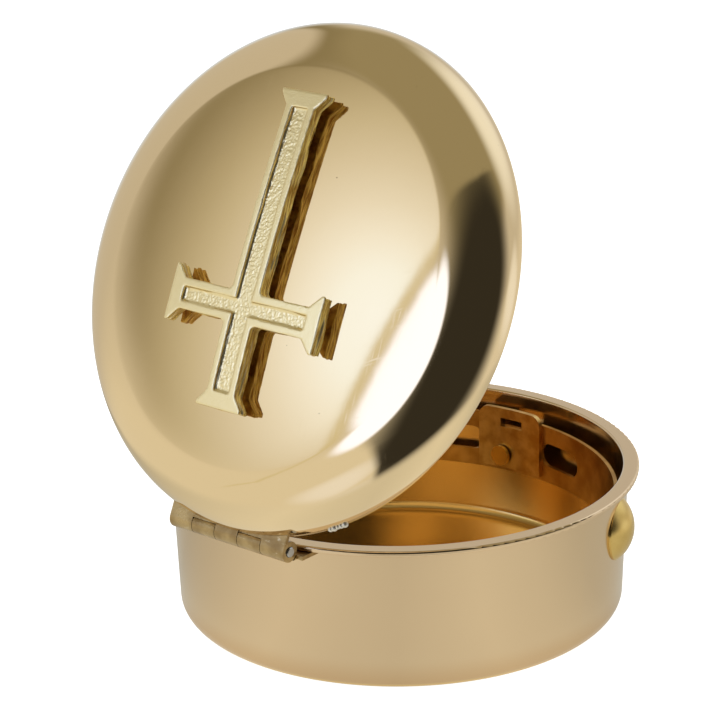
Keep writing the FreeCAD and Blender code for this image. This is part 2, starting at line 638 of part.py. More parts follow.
def spring_rivet(side, turn):
    """Domed rivet that holds one end of the catch spring to the wall."""
    level = RIVET_LEVEL
    surface = f"({WALL_BASE} + {TAPER} * {level})"
    rise = size("rivet_rise")
    dome = f"(({size('rivet_radius')} ^ 2 + {rise} ^ 2) / (2 * {rise}))"
    ball = solid("Sphere", f"rivet_ball_{side}", Radius=dome,
                 Placement=at(y=f"{surface} + {rise} - {dome}", z=level))
    disc = cylinder(f"rivet_disc_{side}", size("rivet_radius"), f"{rise} + 2 * {PAST}",
                    at(y=f"{surface} - {PAST}", z=level, roll="-90"))
    head = common(f"rivet_head_{side}", disc, ball)
    cap = cut(f"rivet_cap_{side}", head, wall_cone(f"rivet_seat_{side}"))
    pad_face = f"({PAD_RADIUS} - {size('spring_thickness')})"
    sag = f"({pad_face} - sqrt({pad_face} ^ 2 - {size('rivet_tail')} ^ 2))"
    tail_face = f"({pad_face} - {sag} - {size('contact_gap')})"
    start = f"({tail_face} - {size('tail_height')})"
    shank = cylinder(f"rivet_stem_{side}", size("rivet_shank"), f"{surface} + {rise} / 2 - {start}",
                     at(y=start, z=level, roll="-90"))
    tail = cylinder(f"rivet_end_{side}", size("rivet_tail"), size("tail_height"),
                    at(y=start, z=level, roll="-90"))
    rivet = join(f"rivet_{side}", cap, shank, tail)
    return bind(rivet, Placement=at(yaw=turn))


def lid_catch():
    """Bent strip soldered on the seat ring; its nib snaps into the catch plate's window."""
    wide = size("catch_width")
    thick = size("catch_thickness")
    edge = f"({size('catch_shift')} + {wide} / 2)"
    left = f"-{edge}"
    face = (f"(sqrt(({MOUTH_RADIUS} - {size('catch_clearance')}) ^ 2 - {edge} ^ 2) - {thick})")
    heel = f"(sqrt(({LID_BORE} - {size('catch_clearance')}) ^ 2 - {edge} ^ 2))"
    length = f"{thick} + {size('catch_drop')} + {size('ring_thickness')}"
    leg = block("catch_leg", wide, thick, length, at(x=left, y=face, z=f"-{size('catch_drop')}"))
    foot = block("catch_foot", wide, f"{heel} - {face}", thick,
                 at(x=left, y=face, z=size("ring_thickness")))
    tip = f"{PLATE_FRONT} - {size('nib_bite')}"
    reach = f"{face} - ({tip})"
    nib = block("catch_nib", size("nib_width"), f"{reach} + {thick} / 2", size("nib_height"),
                at(x=f"-{size('catch_shift')} - {size('nib_width')} / 2", y=tip,
                   z=f"-{size('catch_drop')}"))
    catch = join("catch", leg, foot, nib)
    return bind(catch, Placement=LID_PLACE)


def cross_corners(inset="0", ends="0", flared=True):
    """Corners of the cross, drawn in by inset; the channel leaves out the flares."""
    shaft = f"({size('shaft_width')} / 2 - {inset})"
    arm = f"({size('arm_width')} / 2 - {inset})"
    flare = f"({size('flare_width')} / 2)"
    top = f"({size('cross_top')} - {ends})"
    foot = f"({size('cross_foot')} - {ends})"
    side = f"({size('cross_arm')} - {ends})"
    level = size("cross_level")
    edge = size("flare_edge")
    length = size("flare_length")
    right = [(shaft, f"-{foot}")]
    if flared:
        right = [(flare, f"-{foot}"), (flare, f"-{foot} + {edge}"), (shaft, f"-{foot} + {length}")]
    right.append((shaft, f"-{level} - {arm}"))
    if flared:
        right += [(f"{side} - {length}", f"-{level} - {arm}"), (f"{side} - {edge}", f"-{level} - {flare}")]
        right += [(side, f"-{level} - {flare}"), (side, f"-{level} + {flare}")]
        right += [(f"{side} - {edge}", f"-{level} + {flare}"), (f"{side} - {length}", f"-{level} + {arm}")]
    else:
        right += [(side, f"-{level} - {arm}"), (side, f"-{level} + {arm}")]
    right.append((shaft, f"-{level} + {arm}"))
    if flared:
        right += [(shaft, f"{top} - {length}"), (flare, f"{top} - {edge}"), (flare, top)]
    else:
        right.append((shaft, top))
    return right + [(f"-({x})", y) for x, y in reversed(right)]


def cross_prism(name, corners):
    """Upright prism with the outline of the cross or of its channel."""
    body = doc.addObject("PartDesign::Body", name)
    shape = new_sketch(body, f"{name}_outline", "XY_Plane")
    outline(shape, corners)
    return body, pad(body, shape, f"{LID_HEIGHT} + {size('cross_thickness')} + {PAST}")


def dome_ball(name, radius):
    """Ball about the middle of the lid's dome."""
    return solid("Sphere", name, Radius=radius, Placement=at(z=DOME_CENTRE))


def lid_cross():
    """Cast cross, bent to the dome, with flared ends and a sunk channel, on two peened studs."""
    shift = size("cross_shift")
    blank, prism = cross_prism("cross_blank", cross_corners())
    shaft = f"{size('shaft_width')} / 2"
    arm = f"{size('arm_width')} / 2"
    crotches = [(f"{sign}{shaft}", f"-{size('cross_level')} {way} {arm}")
                for sign in ("", "-") for way in ("-", "+")]
    soften(blank, prism, "crotch_rounds", uprights(prism, crotches), size("crotch_round"))
    bind(blank, Placement=at(x=shift))
    plate = cut("cross_back", common("cross_front", blank, dome_ball("cross_face", CROSS_FACE)),
                dome_ball("cross_under", CROSS_BACK))
    corners = cross_corners(size("cross_border"), size("flare_length"), flared=False)
    channel, _ = cross_prism("cross_channel", corners)
    bind(channel, Placement=at(x=shift))
    floor = dome_ball("channel_floor", f"{CROSS_FACE} - {size('channel_depth')}")
    pieces = [cut("cross_plate", plate, cut("channel_space", channel, floor))]
    inner = f"({size('dome_radius')} - {size('lid_thickness')})"
    reach = f"({size('stud_offset')} + {size('stud_head')} + {shift})"
    head_top = f"({DOME_CENTRE} + sqrt({inner} ^ 2 - {reach} ^ 2) - {size('contact_gap')})"
    back = f"({DOME_CENTRE} + sqrt({CROSS_BACK} ^ 2 - {size('stud_offset')} ^ 2))"
    root = f"({back} + {size('cross_thickness')} / 2)"
    for side, sign in (("front", ""), ("back", "-")):
        bottom = f"({head_top} - {size('tail_height')})"
        place = at(x=shift, y=f"{sign}{size('stud_offset')}", z=bottom)
        pieces.append(cylinder(f"stud_{side}", size("stud_radius"), f"{root} - {bottom}", place))
        pieces.append(cylinder(f"stud_end_{side}", size("stud_head"), size("tail_height"), place))
    return bind(join("cross", *pieces), Placement=LID_PLACE)


def rim_solder_bead():
    """A run of small solder lobes left on the lid's rim beside the hinge."""
    lobes = []
    pitch = f"{size('bead_pitch')} / {LID_RADIUS} * 180 / pi"
    radius = size("bead_radius")
    for index in range(BEAD_LOBES):
        turn = f"({size('bead_turn')} + {index - BEAD_LOBES // 2} * {pitch})"
        x = f"{LID_RADIUS} * sin({turn})"
        y = f"{LID_RADIUS} * cos({turn})"
        grown = f"{radius} * {1 - 0.12 * (index % 3)}"
        lobes.append(solid("Sphere", f"bead_lobe_{index + 1}", Radius=grown,
                           Placement=at(x=x, y=y, z=radius)))
    run = join("bead_run", *lobes)
    trim = cylinder("bead_trim", LID_RADIUS, "4", at(z="-1"))
    return bind(cut("bead", run, trim), Placement=LID_PLACE)


PARTS = {
    "body_cup": body_cup(),
    "body_hinge_leaf": body_hinge_leaf(),
    "hinge_pin": hinge_pin(),
    "catch_spring": catch_spring(),
    "spring_rivet_right": spring_rivet("right", f"-{size('rivet_angle')}"),
    "spring_rivet_left": spring_rivet("left", size("rivet_angle")),
    "catch_plate": catch_plate(),
    "push_button": push_button(),
    "lid_shell": lid_shell(),
    "lid_ring": lid_ring(),
    "lid_hinge_leaf": lid_hinge_leaf(),
    "lid_catch": lid_catch(),
    "lid_cross": lid_cross(),
    "rim_solder_bead": rim_solder_bead(),
}

for node, part in PARTS.items():
    part.Label = node
doc.recompute()

for thing in doc.Objects:
    if "Invalid" in thing.State or "Error" in thing.State:
        raise RuntimeError(f"{thing.Name} ({thing.Label}) did not build: {thing.State}")
for node, part in PARTS.items():
    shape = part.Shape
    if shape.isNull() or not shape.isValid() or not shape.Solids:
        raise RuntimeError(f"{node} has no valid solid")

os.makedirs("parts", exist_ok=True)
for node, part in PARTS.items():
    part.Shape.exportStep(f"parts/{node}.step")
    box = part.Shape.BoundBox
    print(f"{node}: {len(part.Shape.Solids)} solid, {part.Shape.Volume:.2f} mm3,"
          f" x {box.XMin:.2f}..{box.XMax:.2f} y {box.YMin:.2f}..{box.YMax:.2f}"
          f" z {box.ZMin:.2f}..{box.ZMax:.2f}")
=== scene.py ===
import math

import bmesh
import bpy
from mathutils import Matrix, Vector, noise


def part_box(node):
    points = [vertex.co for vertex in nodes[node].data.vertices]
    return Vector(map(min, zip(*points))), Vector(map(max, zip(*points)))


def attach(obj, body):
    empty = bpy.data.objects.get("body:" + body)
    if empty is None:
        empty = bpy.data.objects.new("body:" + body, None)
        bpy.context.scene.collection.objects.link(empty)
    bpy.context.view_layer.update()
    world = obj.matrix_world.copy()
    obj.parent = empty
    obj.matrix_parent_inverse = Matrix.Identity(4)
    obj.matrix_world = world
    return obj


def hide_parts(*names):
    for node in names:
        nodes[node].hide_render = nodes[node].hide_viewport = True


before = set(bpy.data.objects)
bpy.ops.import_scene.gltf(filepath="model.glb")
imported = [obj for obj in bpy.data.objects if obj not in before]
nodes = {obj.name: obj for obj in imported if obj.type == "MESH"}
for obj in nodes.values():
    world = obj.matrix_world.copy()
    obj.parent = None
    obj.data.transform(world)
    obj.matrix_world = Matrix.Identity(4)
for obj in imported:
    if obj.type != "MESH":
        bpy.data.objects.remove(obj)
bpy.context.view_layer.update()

# A small round hinged box of gold-coloured metal, its lid standing open, with a plain
# cross fixed on the lid. One section for each piece, in the order in which the box is
# put together. Metres unless a comment says otherwise, +Z up, hinge at -Y, latch at +Y.

MM = 0.001

# ---------------------------------------------------------------- viewpoint
# A long lens, a little above the box and to the right of its hinge, held very slightly
# off level.

LENS = 128.0
NEAREST = 0.01
# turn from -Y toward +X, height above level, and roll, all in radians
TURN, TILT, ROLL = 0.703, 0.333, -0.019
DISTANCE = 264.9 * MM
AIM = Vector((-3.012, -2.553, 26.499)) * MM

toward = Vector((math.sin(TURN) * math.cos(TILT), -math.cos(TURN) * math.cos(TILT), math.sin(TILT)))
level = Vector((math.cos(TURN), math.sin(TURN), 0))
upward = toward.cross(level)
right = math.cos(ROLL) * level + math.sin(ROLL) * upward
up = math.cos(ROLL) * upward - math.sin(ROLL) * level
eye = AIM + DISTANCE * toward
lens = bpy.data.cameras.new("viewpoint")
lens.lens = LENS
lens.clip_start = NEAREST
viewpoint = bpy.data.objects.new("viewpoint", lens)
viewpoint.matrix_world = Matrix((
    (right.x, up.x, toward.x, eye.x),
    (right.y, up.y, toward.y, eye.y),
    (right.z, up.z, toward.z, eye.z),
    (0, 0, 0, 1)))
bpy.context.scene.collection.objects.link(viewpoint)
bpy.context.scene.camera = viewpoint
bpy.context.scene.view_settings.view_transform = "Standard"

# ---------------------------------------------------------------- the room's light
# The box stands on a white table between white walls, under a dim ceiling. A tall lit
# panel faces the lid with a white lamp beside it, and the side of the room behind the
# viewpoint is dark.


class Value:
    """A socket of a node tree. Arithmetic on it adds the nodes that do it."""

    def __init__(self, tree, socket):
        self.tree = tree
        self.socket = socket

    def __add__(self, other):
        return self.tree.math("ADD", self, other)

    def __radd__(self, other):
        return self.tree.math("ADD", self, other)

    def __sub__(self, other):
        return self.tree.math("SUBTRACT", self, other)

    def __rsub__(self, other):
        return self.tree.math("SUBTRACT", other, self)

    def __mul__(self, other):
        return self.tree.math("MULTIPLY", self, other)

    def __rmul__(self, other):
        return self.tree.math("MULTIPLY", self, other)

    def __truediv__(self, other):
        return self.tree.math("DIVIDE", self, other)

    def __rtruediv__(self, other):
        return self.tree.math("DIVIDE", other, self)

    def __pow__(self, other):
        return self.tree.math("POWER", self, other)

    def __rpow__(self, other):
        return self.tree.math("POWER", other, self)

    def least(self, other):
        return self.tree.math("MINIMUM", self, other)

    def most(self, other):
        return self.tree.math("MAXIMUM", self, other)

    def rise(self, start, end):
        """0 on start's side, 1 on end's side, smooth between them."""
        spread = {"interpolation_type": "SMOOTHSTEP"}
        return self.tree.node("ShaderNodeMapRange", spread, {0: self, 1: start, 2: end})

    def along(self, direction):
        """How far this vector reaches in a direction."""
        inputs = {0: self, 1: tuple(direction)}
        return self.tree.node("ShaderNodeVectorMath", {"operation": "DOT_PRODUCT"}, inputs, "Value")

    def times(self, other):
        """This vector with each part multiplied by the other's."""
        return self.tree.node("ShaderNodeVectorMath", {"operation": "MULTIPLY"}, {0: self, 1: other})


class Tree:
    """The node tree of one finish or light."""

    def __init__(self, owner):
        owner.use_nodes = True
        self.made = owner.node_tree
        self.made.nodes.clear()

    def node(self, kind, settings=None, inputs=None, output=0):
        """Add a node: its settings first, then the values or links of its sockets."""
        new = self.made.nodes.new(kind)
        for name, value in (settings or {}).items():
            if name == "stops":
                self.stops(new.color_ramp, value)
            else:
                setattr(new, name, value)
        for name, value in (inputs or {}).items():
            if isinstance(value, Value):
                self.made.links.new(value.socket, new.inputs[name])
            else:
                new.inputs[name].default_value = value
        return Value(self, new.outputs[output]) if new.outputs else None

    def stops(self, ramp, values):
        """Set a ramp's stops, each a place and a colour."""
        while len(ramp.elements) < len(values):
            ramp.elements.new(1)
        for element, (place, colour) in zip(ramp.elements, values):
            element.position = place
            element.color = (*colour, 1)

    def math(self, operation, *numbers):
        return self.node("ShaderNodeMath", {"operation": operation}, dict(enumerate(numbers)))

    def mix(self, share, first, second):
        """The first colour where share is 0, the second where it is 1."""
        first, second = [(*c, 1) if isinstance(c, tuple) else c for c in (first, second)]
        # inputs 6 and 7 and output 2 are the node's colours
        return self.node("ShaderNodeMix", {"data_type": "RGBA"}, {0: share, 6: first, 7: second}, 2)


def heading(turn, rise):
    """Direction at a turn in degrees from -Y toward +X, and a rise above level."""
    a, e = math.radians(turn), math.radians(rise)
    return Vector((math.sin(a) * math.cos(e), -math.cos(a) * math.cos(e), math.sin(e)))


def cosine(angle):
    """The cosine of an angle in degrees."""
    return math.cos(math.radians(angle))


WHITE = (1, 1, 1)
TABLE = (0.73, 0.70, 0.615)
TABLE_TOWARD_VIEW = (0.77, 0.755, 0.69)
TABLE_BEFORE_LID = (0.78, 0.755, 0.66)
WALLS = (0.61, 0.59, 0.54)
CEILING = (0.335, 0.305, 0.20)
BROWN = (0.27, 0.24, 0.15)
GAP = (0.70, 0.66, 0.48)
LAMP = (1.30, 1.50, 2.20)
DARK = (0.036, 0.033, 0.026)
SOFT_LIGHT = (1.0, 0.97, 0.90)

# heights over which the walls, the ceiling and the brown give way, as the sine of the rise
WALL_FOOT, WALL_TOP, BROWN_TOP = (-0.12, 0.14), (0.45, 0.70), (0.74, 0.88)
# round patches of the room: turn, rise, radius and blur, all in degrees
BROWN_PATCH, WALL_PATCH = (-88, 4, 47, 5), (-88, 8, 38, 2.5)
TABLE_PATCH = (-30, -30, 46, 10)
PANEL_PATCH, GAP_PATCH = (-43.5, 24, 14.7, 2.0), (-28, 8, 22, 6)
LAMP_PATCH, LAMP_CORNER = (-15, 19.5, 13.6, 1.6), (-27, 22, 6.5, 0.8)
DARK_PATCH = (50, 12, 58, 16)
# more patches, each with its colour: pale wall behind the box, and lamps low around it
GLOWS = [(168, 40, 20, 18, (0.95, 1.0, 1.05)), (133, -6, 10, 9, (0.92, 0.95, 1.0)),
         (-128, -4, 16, 14, (0.72, 0.80, 0.92)), (4, -24, 7, 9, (0.90, 0.93, 1.0)),
         (20, -46, 9, 7, (0.85, 0.88, 0.95))]
# planes across the room: direction, how far along it, and blur
VIEW_SIDE = ((0.5, -0.5, -0.6), 0.1, 0.5)
DARK_SIDES = [((0.5858, -0.3428, -0.7344), -0.3663, 0.02), ((0.6147, 0.3241, 0.7191), -0.3745, 0.03)]
# the panel's middle by turn and rise; the rest are slopes from there toward +X
PANEL_MIDDLE = (-44, 24)
GAP_START, PANEL_END, GAP_END, LAMP_START = (0.205, 0.214), (0.212, 0.222), (0.222, 0.232), (0.226, 0.236)
BRIGHTEST, UPWARD_FALL, DOWNWARD_FALL = 0.20, 1.25, 0.9
LEAST_DEPTH = 0.05
# colours of the panel, each at twice its distance from the brightest place
PANEL_SCALE = 2
PANEL = [(0.00, (1.09, 1.29, 1.72)), (0.14, (1.06, 1.24, 1.58)), (0.24, (1.00, 1.10, 1.28)),
         (0.34, (0.89, 0.93, 0.98)), (0.46, (0.76, 0.76, 0.72)), (0.58, (0.63, 0.61, 0.51)),
         (0.68, (0.50, 0.47, 0.36)), (0.78, (0.37, 0.34, 0.245)), (0.86, (0.28, 0.25, 0.16))]


def surroundings(tree, look):
    """The light that comes from each direction of the room."""

    def cap(turn, rise, radius, blur):
        """1 inside a round patch of the room."""
        return look.along(heading(turn, rise)).rise(cosine(radius + blur), cosine(radius - blur))

    def beyond(direction, start, blur):
        """1 on the far side of a plane across the room."""
        return look.along(direction).rise(start - blur, start + blur)

    height = look.along((0, 0, 1))
    light = tree.mix(beyond(*VIEW_SIDE), TABLE, TABLE_TOWARD_VIEW)
    light = tree.mix(height.rise(*WALL_FOOT), light, WALLS)
    light = tree.mix(height.rise(*WALL_TOP), light, CEILING)
    light = tree.mix(cap(*BROWN_PATCH), light, BROWN)
    light = tree.mix(height.rise(*BROWN_TOP), light, CEILING)
    light = tree.mix(cap(*WALL_PATCH), light, WALLS)
    light = tree.mix(cap(*TABLE_PATCH), light, TABLE_BEFORE_LID)
    for *patch, colour in GLOWS:
        light = tree.mix(cap(*patch), light, colour)
    # the lit panel in front of the lid, brightest half-way up its +X edge
    middle = heading(*PANEL_MIDDLE)
    side = Vector((0, 0, 1)).cross(middle).normalized()
    depth = look.along(middle).most(LEAST_DEPTH)
    across = look.along(side) / depth
    over = look.along(middle.cross(side)) / depth
    wide = across - BRIGHTEST
    high = (over * UPWARD_FALL).most(over * -DOWNWARD_FALL)
    reach = ((wide * wide + high * high) ** 0.5).least(1.0)
    tone = tree.node("ShaderNodeValToRGB", {"stops": PANEL}, {0: reach * PANEL_SCALE})
    light = tree.mix(cap(*PANEL_PATCH) * (1 - across.rise(*PANEL_END)), light, tone)
    # a narrow pale brown gap, and the white lamp beyond it
    gap = across.rise(*GAP_START) * (1 - across.rise(*GAP_END)) * cap(*GAP_PATCH)
    light = tree.mix(gap, light, GAP)
    lamp = cap(*LAMP_PATCH).most(cap(*LAMP_CORNER)) * across.rise(*LAMP_START)
    light = tree.mix(lamp, light, LAMP)
    # the dark side of the room, bounded by two planes
    shade = beyond(*DARK_SIDES[0]) * beyond(*DARK_SIDES[1]) * cap(*DARK_PATCH) * (1 - lamp)
    return tree.mix(shade, light, DARK)


# metal mirrors the room, matt faces get an even light, and past the table it is white
world = bpy.data.worlds.new("room")
bpy.context.scene.world = world
room = Tree(world)
mirrored = surroundings(room, room.node("ShaderNodeTexCoord", output="Generated"))
matt_ray = room.node("ShaderNodeLightPath", output="Is Diffuse Ray")
straight_ray = room.node("ShaderNodeLightPath", output="Is Camera Ray")
room_light = room.mix(straight_ray, room.mix(matt_ray, mirrored, SOFT_LIGHT), WHITE)
shine = room.node("ShaderNodeBackground", inputs={"Color": room_light, "Strength": 1.0})
room.node("ShaderNodeOutputWorld", inputs={"Surface": shine})

# ---------------------------------------------------------------- table
# A matt white table top, so bright that only the nearest shadow shows on it. Metal sees
# it as the room's own light, and close to the box in the shades given here.

TABLE_HALF = 1.5
TABLE_DROP = 0.02 * MM
TABLE_GREY = (0.5, 0.5, 0.5, 1)
TABLE_GLEAM = 0.93
LID_MIDDLE = Vector((0, -14, 40)) * MM
# distances from the box's axis over which its near light gives way to the room's
NEAR_END = (55 * MM, 80 * MM)
NEAR_COLOUR = (0.80, 0.785, 0.70)
# share of that colour by turn in degrees from -Y toward +X
NEAR_TABLE = [(-180, 0.70), (-63, 0.66), (-39, 0.80), (-15, 0.95), (-3, 1.0), (20, 0.90), (38, 0.86),
              (68, 0.99), (92, 0.90), (116, 0.74), (140, 0.70), (180, 0.70)]


def finish(name):
    """A new material, and the tree that makes it."""
    made = bpy.data.materials.new(name)
    return made, Tree(made)


def placed(name, mesh):
    """A mesh as a new object of the scene."""
    piece = bpy.data.objects.new(name, mesh)
    bpy.context.scene.collection.objects.link(piece)
    return piece


table_mesh = bpy.data.meshes.new("table")
table_corners = [(-TABLE_HALF, -TABLE_HALF, 0), (TABLE_HALF, -TABLE_HALF, 0),
                 (TABLE_HALF, TABLE_HALF, 0), (-TABLE_HALF, TABLE_HALF, 0)]
table_mesh.from_pydata(table_corners, [], [(0, 1, 2, 3)])
table = placed("table", table_mesh)
table.location.z = -TABLE_DROP

table_white, tree = finish("table_white")
matt = tree.node("ShaderNodeBsdfDiffuse", inputs={"Color": TABLE_GREY})
gleam = tree.node("ShaderNodeEmission", inputs={"Color": (*WHITE, 1), "Strength": TABLE_GLEAM})
seen = tree.node("ShaderNodeAddShader", inputs={0: matt, 1: gleam})
spot = tree.node("ShaderNodeNewGeometry", output="Position")
from_lid = tree.node("ShaderNodeVectorMath", {"operation": "SUBTRACT"}, {0: spot, 1: tuple(LID_MIDDLE)})
outward = tree.node("ShaderNodeVectorMath", {"operation": "NORMALIZE"}, {0: from_lid})
from_axis = spot.times(spot).along((1, 1, 0)) ** 0.5
table_turn = tree.math("ARCTAN2", spot.along((1, 0, 0)), spot.along((0, -1, 0))) / math.tau + 0.5
bands = [(turn / 360 + 0.5, tuple(share * c for c in NEAR_COLOUR)) for turn, share in NEAR_TABLE]
near = tree.node("ShaderNodeValToRGB", {"stops": bands}, {0: table_turn})
table_light = tree.mix(from_axis.rise(*NEAR_END), near, surroundings(tree, outward))
reflected = tree.node("ShaderNodeEmission", inputs={"Color": table_light, "Strength": 1.0})
straight_ray = tree.node("ShaderNodeLightPath", output="Is Camera Ray")
either = tree.node("ShaderNodeMixShader", inputs={0: straight_ray, 1: reflected, 2: seen})
tree.node("ShaderNodeOutputMaterial", inputs={"Surface": either})
table_mesh.materials.append(table_white)

# ---------------------------------------------------------------- body cup
# Drawn brass cup with an out-turned lip. The outside is satin lacquer, faintly pink, darkened
# toward its foot by painted shade; the inside is a deeper, glossy amber, made paler toward the
# mouth by painted light.

_, lip_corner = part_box("body_cup")
LIP_TOP = lip_corner.z
LIP_WIDTH, WALL = 1.1 * MM, 0.75 * MM
INSIDE = lip_corner.x - LIP_WIDTH - WALL
# heights, and depths under the lip's top, over which one finish, or the painted shade at the
# foot and the painted light at the mouth, gives way to the next
UNDERSIDE = (0.2 * MM, 0.4 * MM)
CORNER = (3.6 * MM, 0.6 * MM)
MOUTH = (10 * MM, 13 * MM)
LIP_DEPTH = (0.75 * MM, 0.55 * MM)
SATIN, SATIN_CLOUD, FOOT_PAINTED_SHADE = (0.79, 0.605, 0.385), (0.74, 0.545, 0.340), (0.68, 0.46, 0.25)
AMBER, AMBER_CLOUD, MOUTH_PAINTED_LIGHT = (0.88, 0.62, 0.25), (0.78, 0.50, 0.17), (0.96, 0.78, 0.50)
LIP_GOLD = (0.82, 0.62, 0.40)


def metal(tree, **inputs):
    """The metal's own shader, joined to the material."""
    named = {"Metallic": 1.0, **{name.replace("_", " "): value for name, value in inputs.items()}}
    shader = tree.node("ShaderNodeBsdfPrincipled", inputs=named)
    tree.node("ShaderNodeOutputMaterial", inputs={"Surface": shader})


def coat(node, material):
    """Give a CAD node its finish."""
    for slot in nodes[node].material_slots:
        slot.material = material


def place_on(tree):
    """The piece's own coordinates in metres."""
    return tree.node("ShaderNodeTexCoord", output="Object")


def grain(tree, spot, size, detail=2.0, stretch=(1, 1, 1), roughness=0.5):
    """Soft noise from 0 to 1 with spots of about this size in metres."""
    inputs = {"Vector": spot.times(stretch), "Scale": 1 / size, "Detail": detail, "Roughness": roughness}
    return tree.node("ShaderNodeTexNoise", inputs=inputs)


def ripple(tree, height, distance):
    """A bump of this depth in metres."""
    return tree.node("ShaderNodeBump", inputs={"Height": height, "Distance": distance, "Strength": 1.0})


satin, tree = finish("body_satin_gold")
spot = place_on(tree)
x, y, z = [spot.along(axis) for axis in ((1, 0, 0), (0, 1, 0), (0, 0, 1))]
radius = (x * x + y * y) ** 0.5
inner = (1 - radius.rise(INSIDE - 0.15 * MM, INSIDE + 0.1 * MM)) * z.rise(*UNDERSIDE)
lip = z.rise(LIP_TOP - LIP_DEPTH[0], LIP_TOP - LIP_DEPTH[1]) * (1 - inner)
mouth = z.rise(*MOUTH)
streaks = grain(tree, spot, 0.5 * MM, 3.0, (1, 1, 0.08))
clouds = grain(tree, spot, 9 * MM)
outside = tree.mix(clouds * 0.5, SATIN, SATIN_CLOUD)
# painted shade: the outside darkens to an orange-brown toward its foot
outside = tree.mix(z.rise(*CORNER) * 0.8, outside, FOOT_PAINTED_SHADE)
amber = tree.mix(clouds * 0.6, AMBER, AMBER_CLOUD)
# painted light: the inside pales toward the mouth
amber = tree.mix(mouth * 0.8, amber, MOUTH_PAINTED_LIGHT)
colour = tree.mix(lip * 0.7, tree.mix(inner, outside, amber), LIP_GOLD)
metal(tree, Base_Color=colour, Roughness=0.13 + inner * (0.06 + mouth * 0.22) + streaks * 0.04,
      Normal=ripple(tree, streaks + clouds * 0.5, 0.004 * MM))
coat("body_cup", satin)

# ---------------------------------------------------------------- hinge
# Two folded sheet leaves rolled into five knuckles, duller and scuffed, on a steel pin,
# their colour dappled with patches of painted shade and flecks of painted highlight. The seat
# ring and the catch inside the lid have the leaves' finish.

BRASS, BRASS_PAINTED_SHADE, BRASS_PAINTED_HIGHLIGHT = (0.56, 0.41, 0.20), (0.33, 0.22, 0.10), (0.80, 0.69, 0.48)
STEEL, STEEL_PALE = (0.42, 0.42, 0.43), (0.60, 0.59, 0.57)

brass, tree = finish("hinge_brass")
spot = place_on(tree)
scuffs_and_highlights = grain(tree, spot, 0.5 * MM, 5.0, (0.35, 1, 1), 0.65)
patches = grain(tree, spot, 2.2 * MM, 3.0)
# painted shade in random patches, and painted highlight in flecks along the scuffs
colour = tree.mix(patches.rise(0.3, 0.7), BRASS, BRASS_PAINTED_SHADE)
colour = tree.mix(scuffs_and_highlights.rise(0.60, 0.74) * 0.6, colour, BRASS_PAINTED_HIGHLIGHT)
metal(tree, Base_Color=colour, Roughness=0.20 + patches * 0.2,
      Normal=ripple(tree, scuffs_and_highlights + patches, 0.05 * MM))
for name in ("body_hinge_leaf", "lid_hinge_leaf", "lid_ring", "lid_catch"):
    coat(name, brass)

steel, tree = finish("pin_steel")
tool_marks = grain(tree, place_on(tree), 0.25 * MM, 3.0)
metal(tree, Base_Color=tree.mix(tool_marks, STEEL, STEEL_PALE), Roughness=0.34,
      Normal=ripple(tree, tool_marks, 0.01 * MM))
coat("hinge_pin", steel)

# ---------------------------------------------------------------- catch spring and plate
# A tarnished bronze strip inside the wall, slotted to make it supple, with a small catch
# plate at its middle that the button carries.

BRONZE_TARNISH, BRONZE = (0.46, 0.26, 0.07), (0.72, 0.46, 0.16)
PLATE_TARNISH, PLATE = (0.55, 0.33, 0.10), (0.82, 0.57, 0.22)

bronze, tree = finish("spring_bronze")
spot = place_on(tree)
clean = grain(tree, spot, 2.5 * MM, 4.0)
roll_lines = grain(tree, spot, 0.3 * MM, 2.0, (1, 1, 0.1))
metal(tree, Base_Color=tree.mix(clean.rise(0.3, 0.7), BRONZE_TARNISH, BRONZE),
      Roughness=0.26 + clean * 0.12, Normal=ripple(tree, roll_lines, 0.004 * MM))
coat("catch_spring", bronze)

plate_metal, tree = finish("plate_metal")
clean = grain(tree, place_on(tree), 1.6 * MM, 4.0)
metal(tree, Base_Color=tree.mix(clean.rise(0.3, 0.7), PLATE_TARNISH, PLATE),
      Roughness=0.24 + clean * 0.15, Normal=ripple(tree, clean, 0.01 * MM))
coat("catch_plate", plate_metal)

# ---------------------------------------------------------------- rivets and button
# Domed heads of yellower brass, polished by handling.

RIVET, RIVET_TARNISH = (0.82, 0.60, 0.22), (0.68, 0.46, 0.14)

rivets, tree = finish("rivet_gold")
tarnish = grain(tree, place_on(tree), 1.2 * MM, 4.0)
metal(tree, Base_Color=tree.mix(tarnish, RIVET, RIVET_TARNISH),
      Roughness=0.16 + tarnish * 0.12, Normal=ripple(tree, tarnish, 0.006 * MM))
for name in ("spring_rivet_right", "spring_rivet_left", "push_button"):
    coat(name, rivets)

# ---------------------------------------------------------------- lid
# Pressed from one sheet: a shallow dome, a soft slope and a short upright skirt with a
# notch for the hinge. Polished to a mirror, with the hairlines and pits of use.

HINGE = Vector((0, -25.87, 15.65)) * MM
OPEN = math.radians(64.1)
RIM_OVER_PIN = 0.05 * MM

# the lid's section and notch in millimetres, heights from its rim
LID_RADIUS = 25.45
SHEET = 0.7
DOME, BLEND, SHOULDER = 200.0, 8.9, 3.8
DOME_STEPS, BLEND_STEPS, SHOULDER_STEPS = 48, 32, 40
UPRIGHT = math.pi / 2
SLOPE = math.radians(33)
SKIRT = 0.73
RIM_ROUND, RIM_ROUND_MIDDLE = 0.12, 0.035
NOTCH_HALF, NOTCH_RISE, NOTCH_DEPTH = 7.6, 1.1, 22.97
PAST = 1
ON_AXIS = 1e-4
AROUND = 720

GOLD, PIT = (0.90, 0.71, 0.44), (0.30, 0.20, 0.10)
HAIR, SLANT = 0.14 * MM, 1.1

# from the lid lying flat on its rim to the lid standing open on its hinge
lid_place = (Matrix.Translation(HINGE) @ Matrix.Rotation(OPEN, 4, "X")
             @ Matrix.Translation(Vector((0, -HINGE.y, RIM_OVER_PIN))))


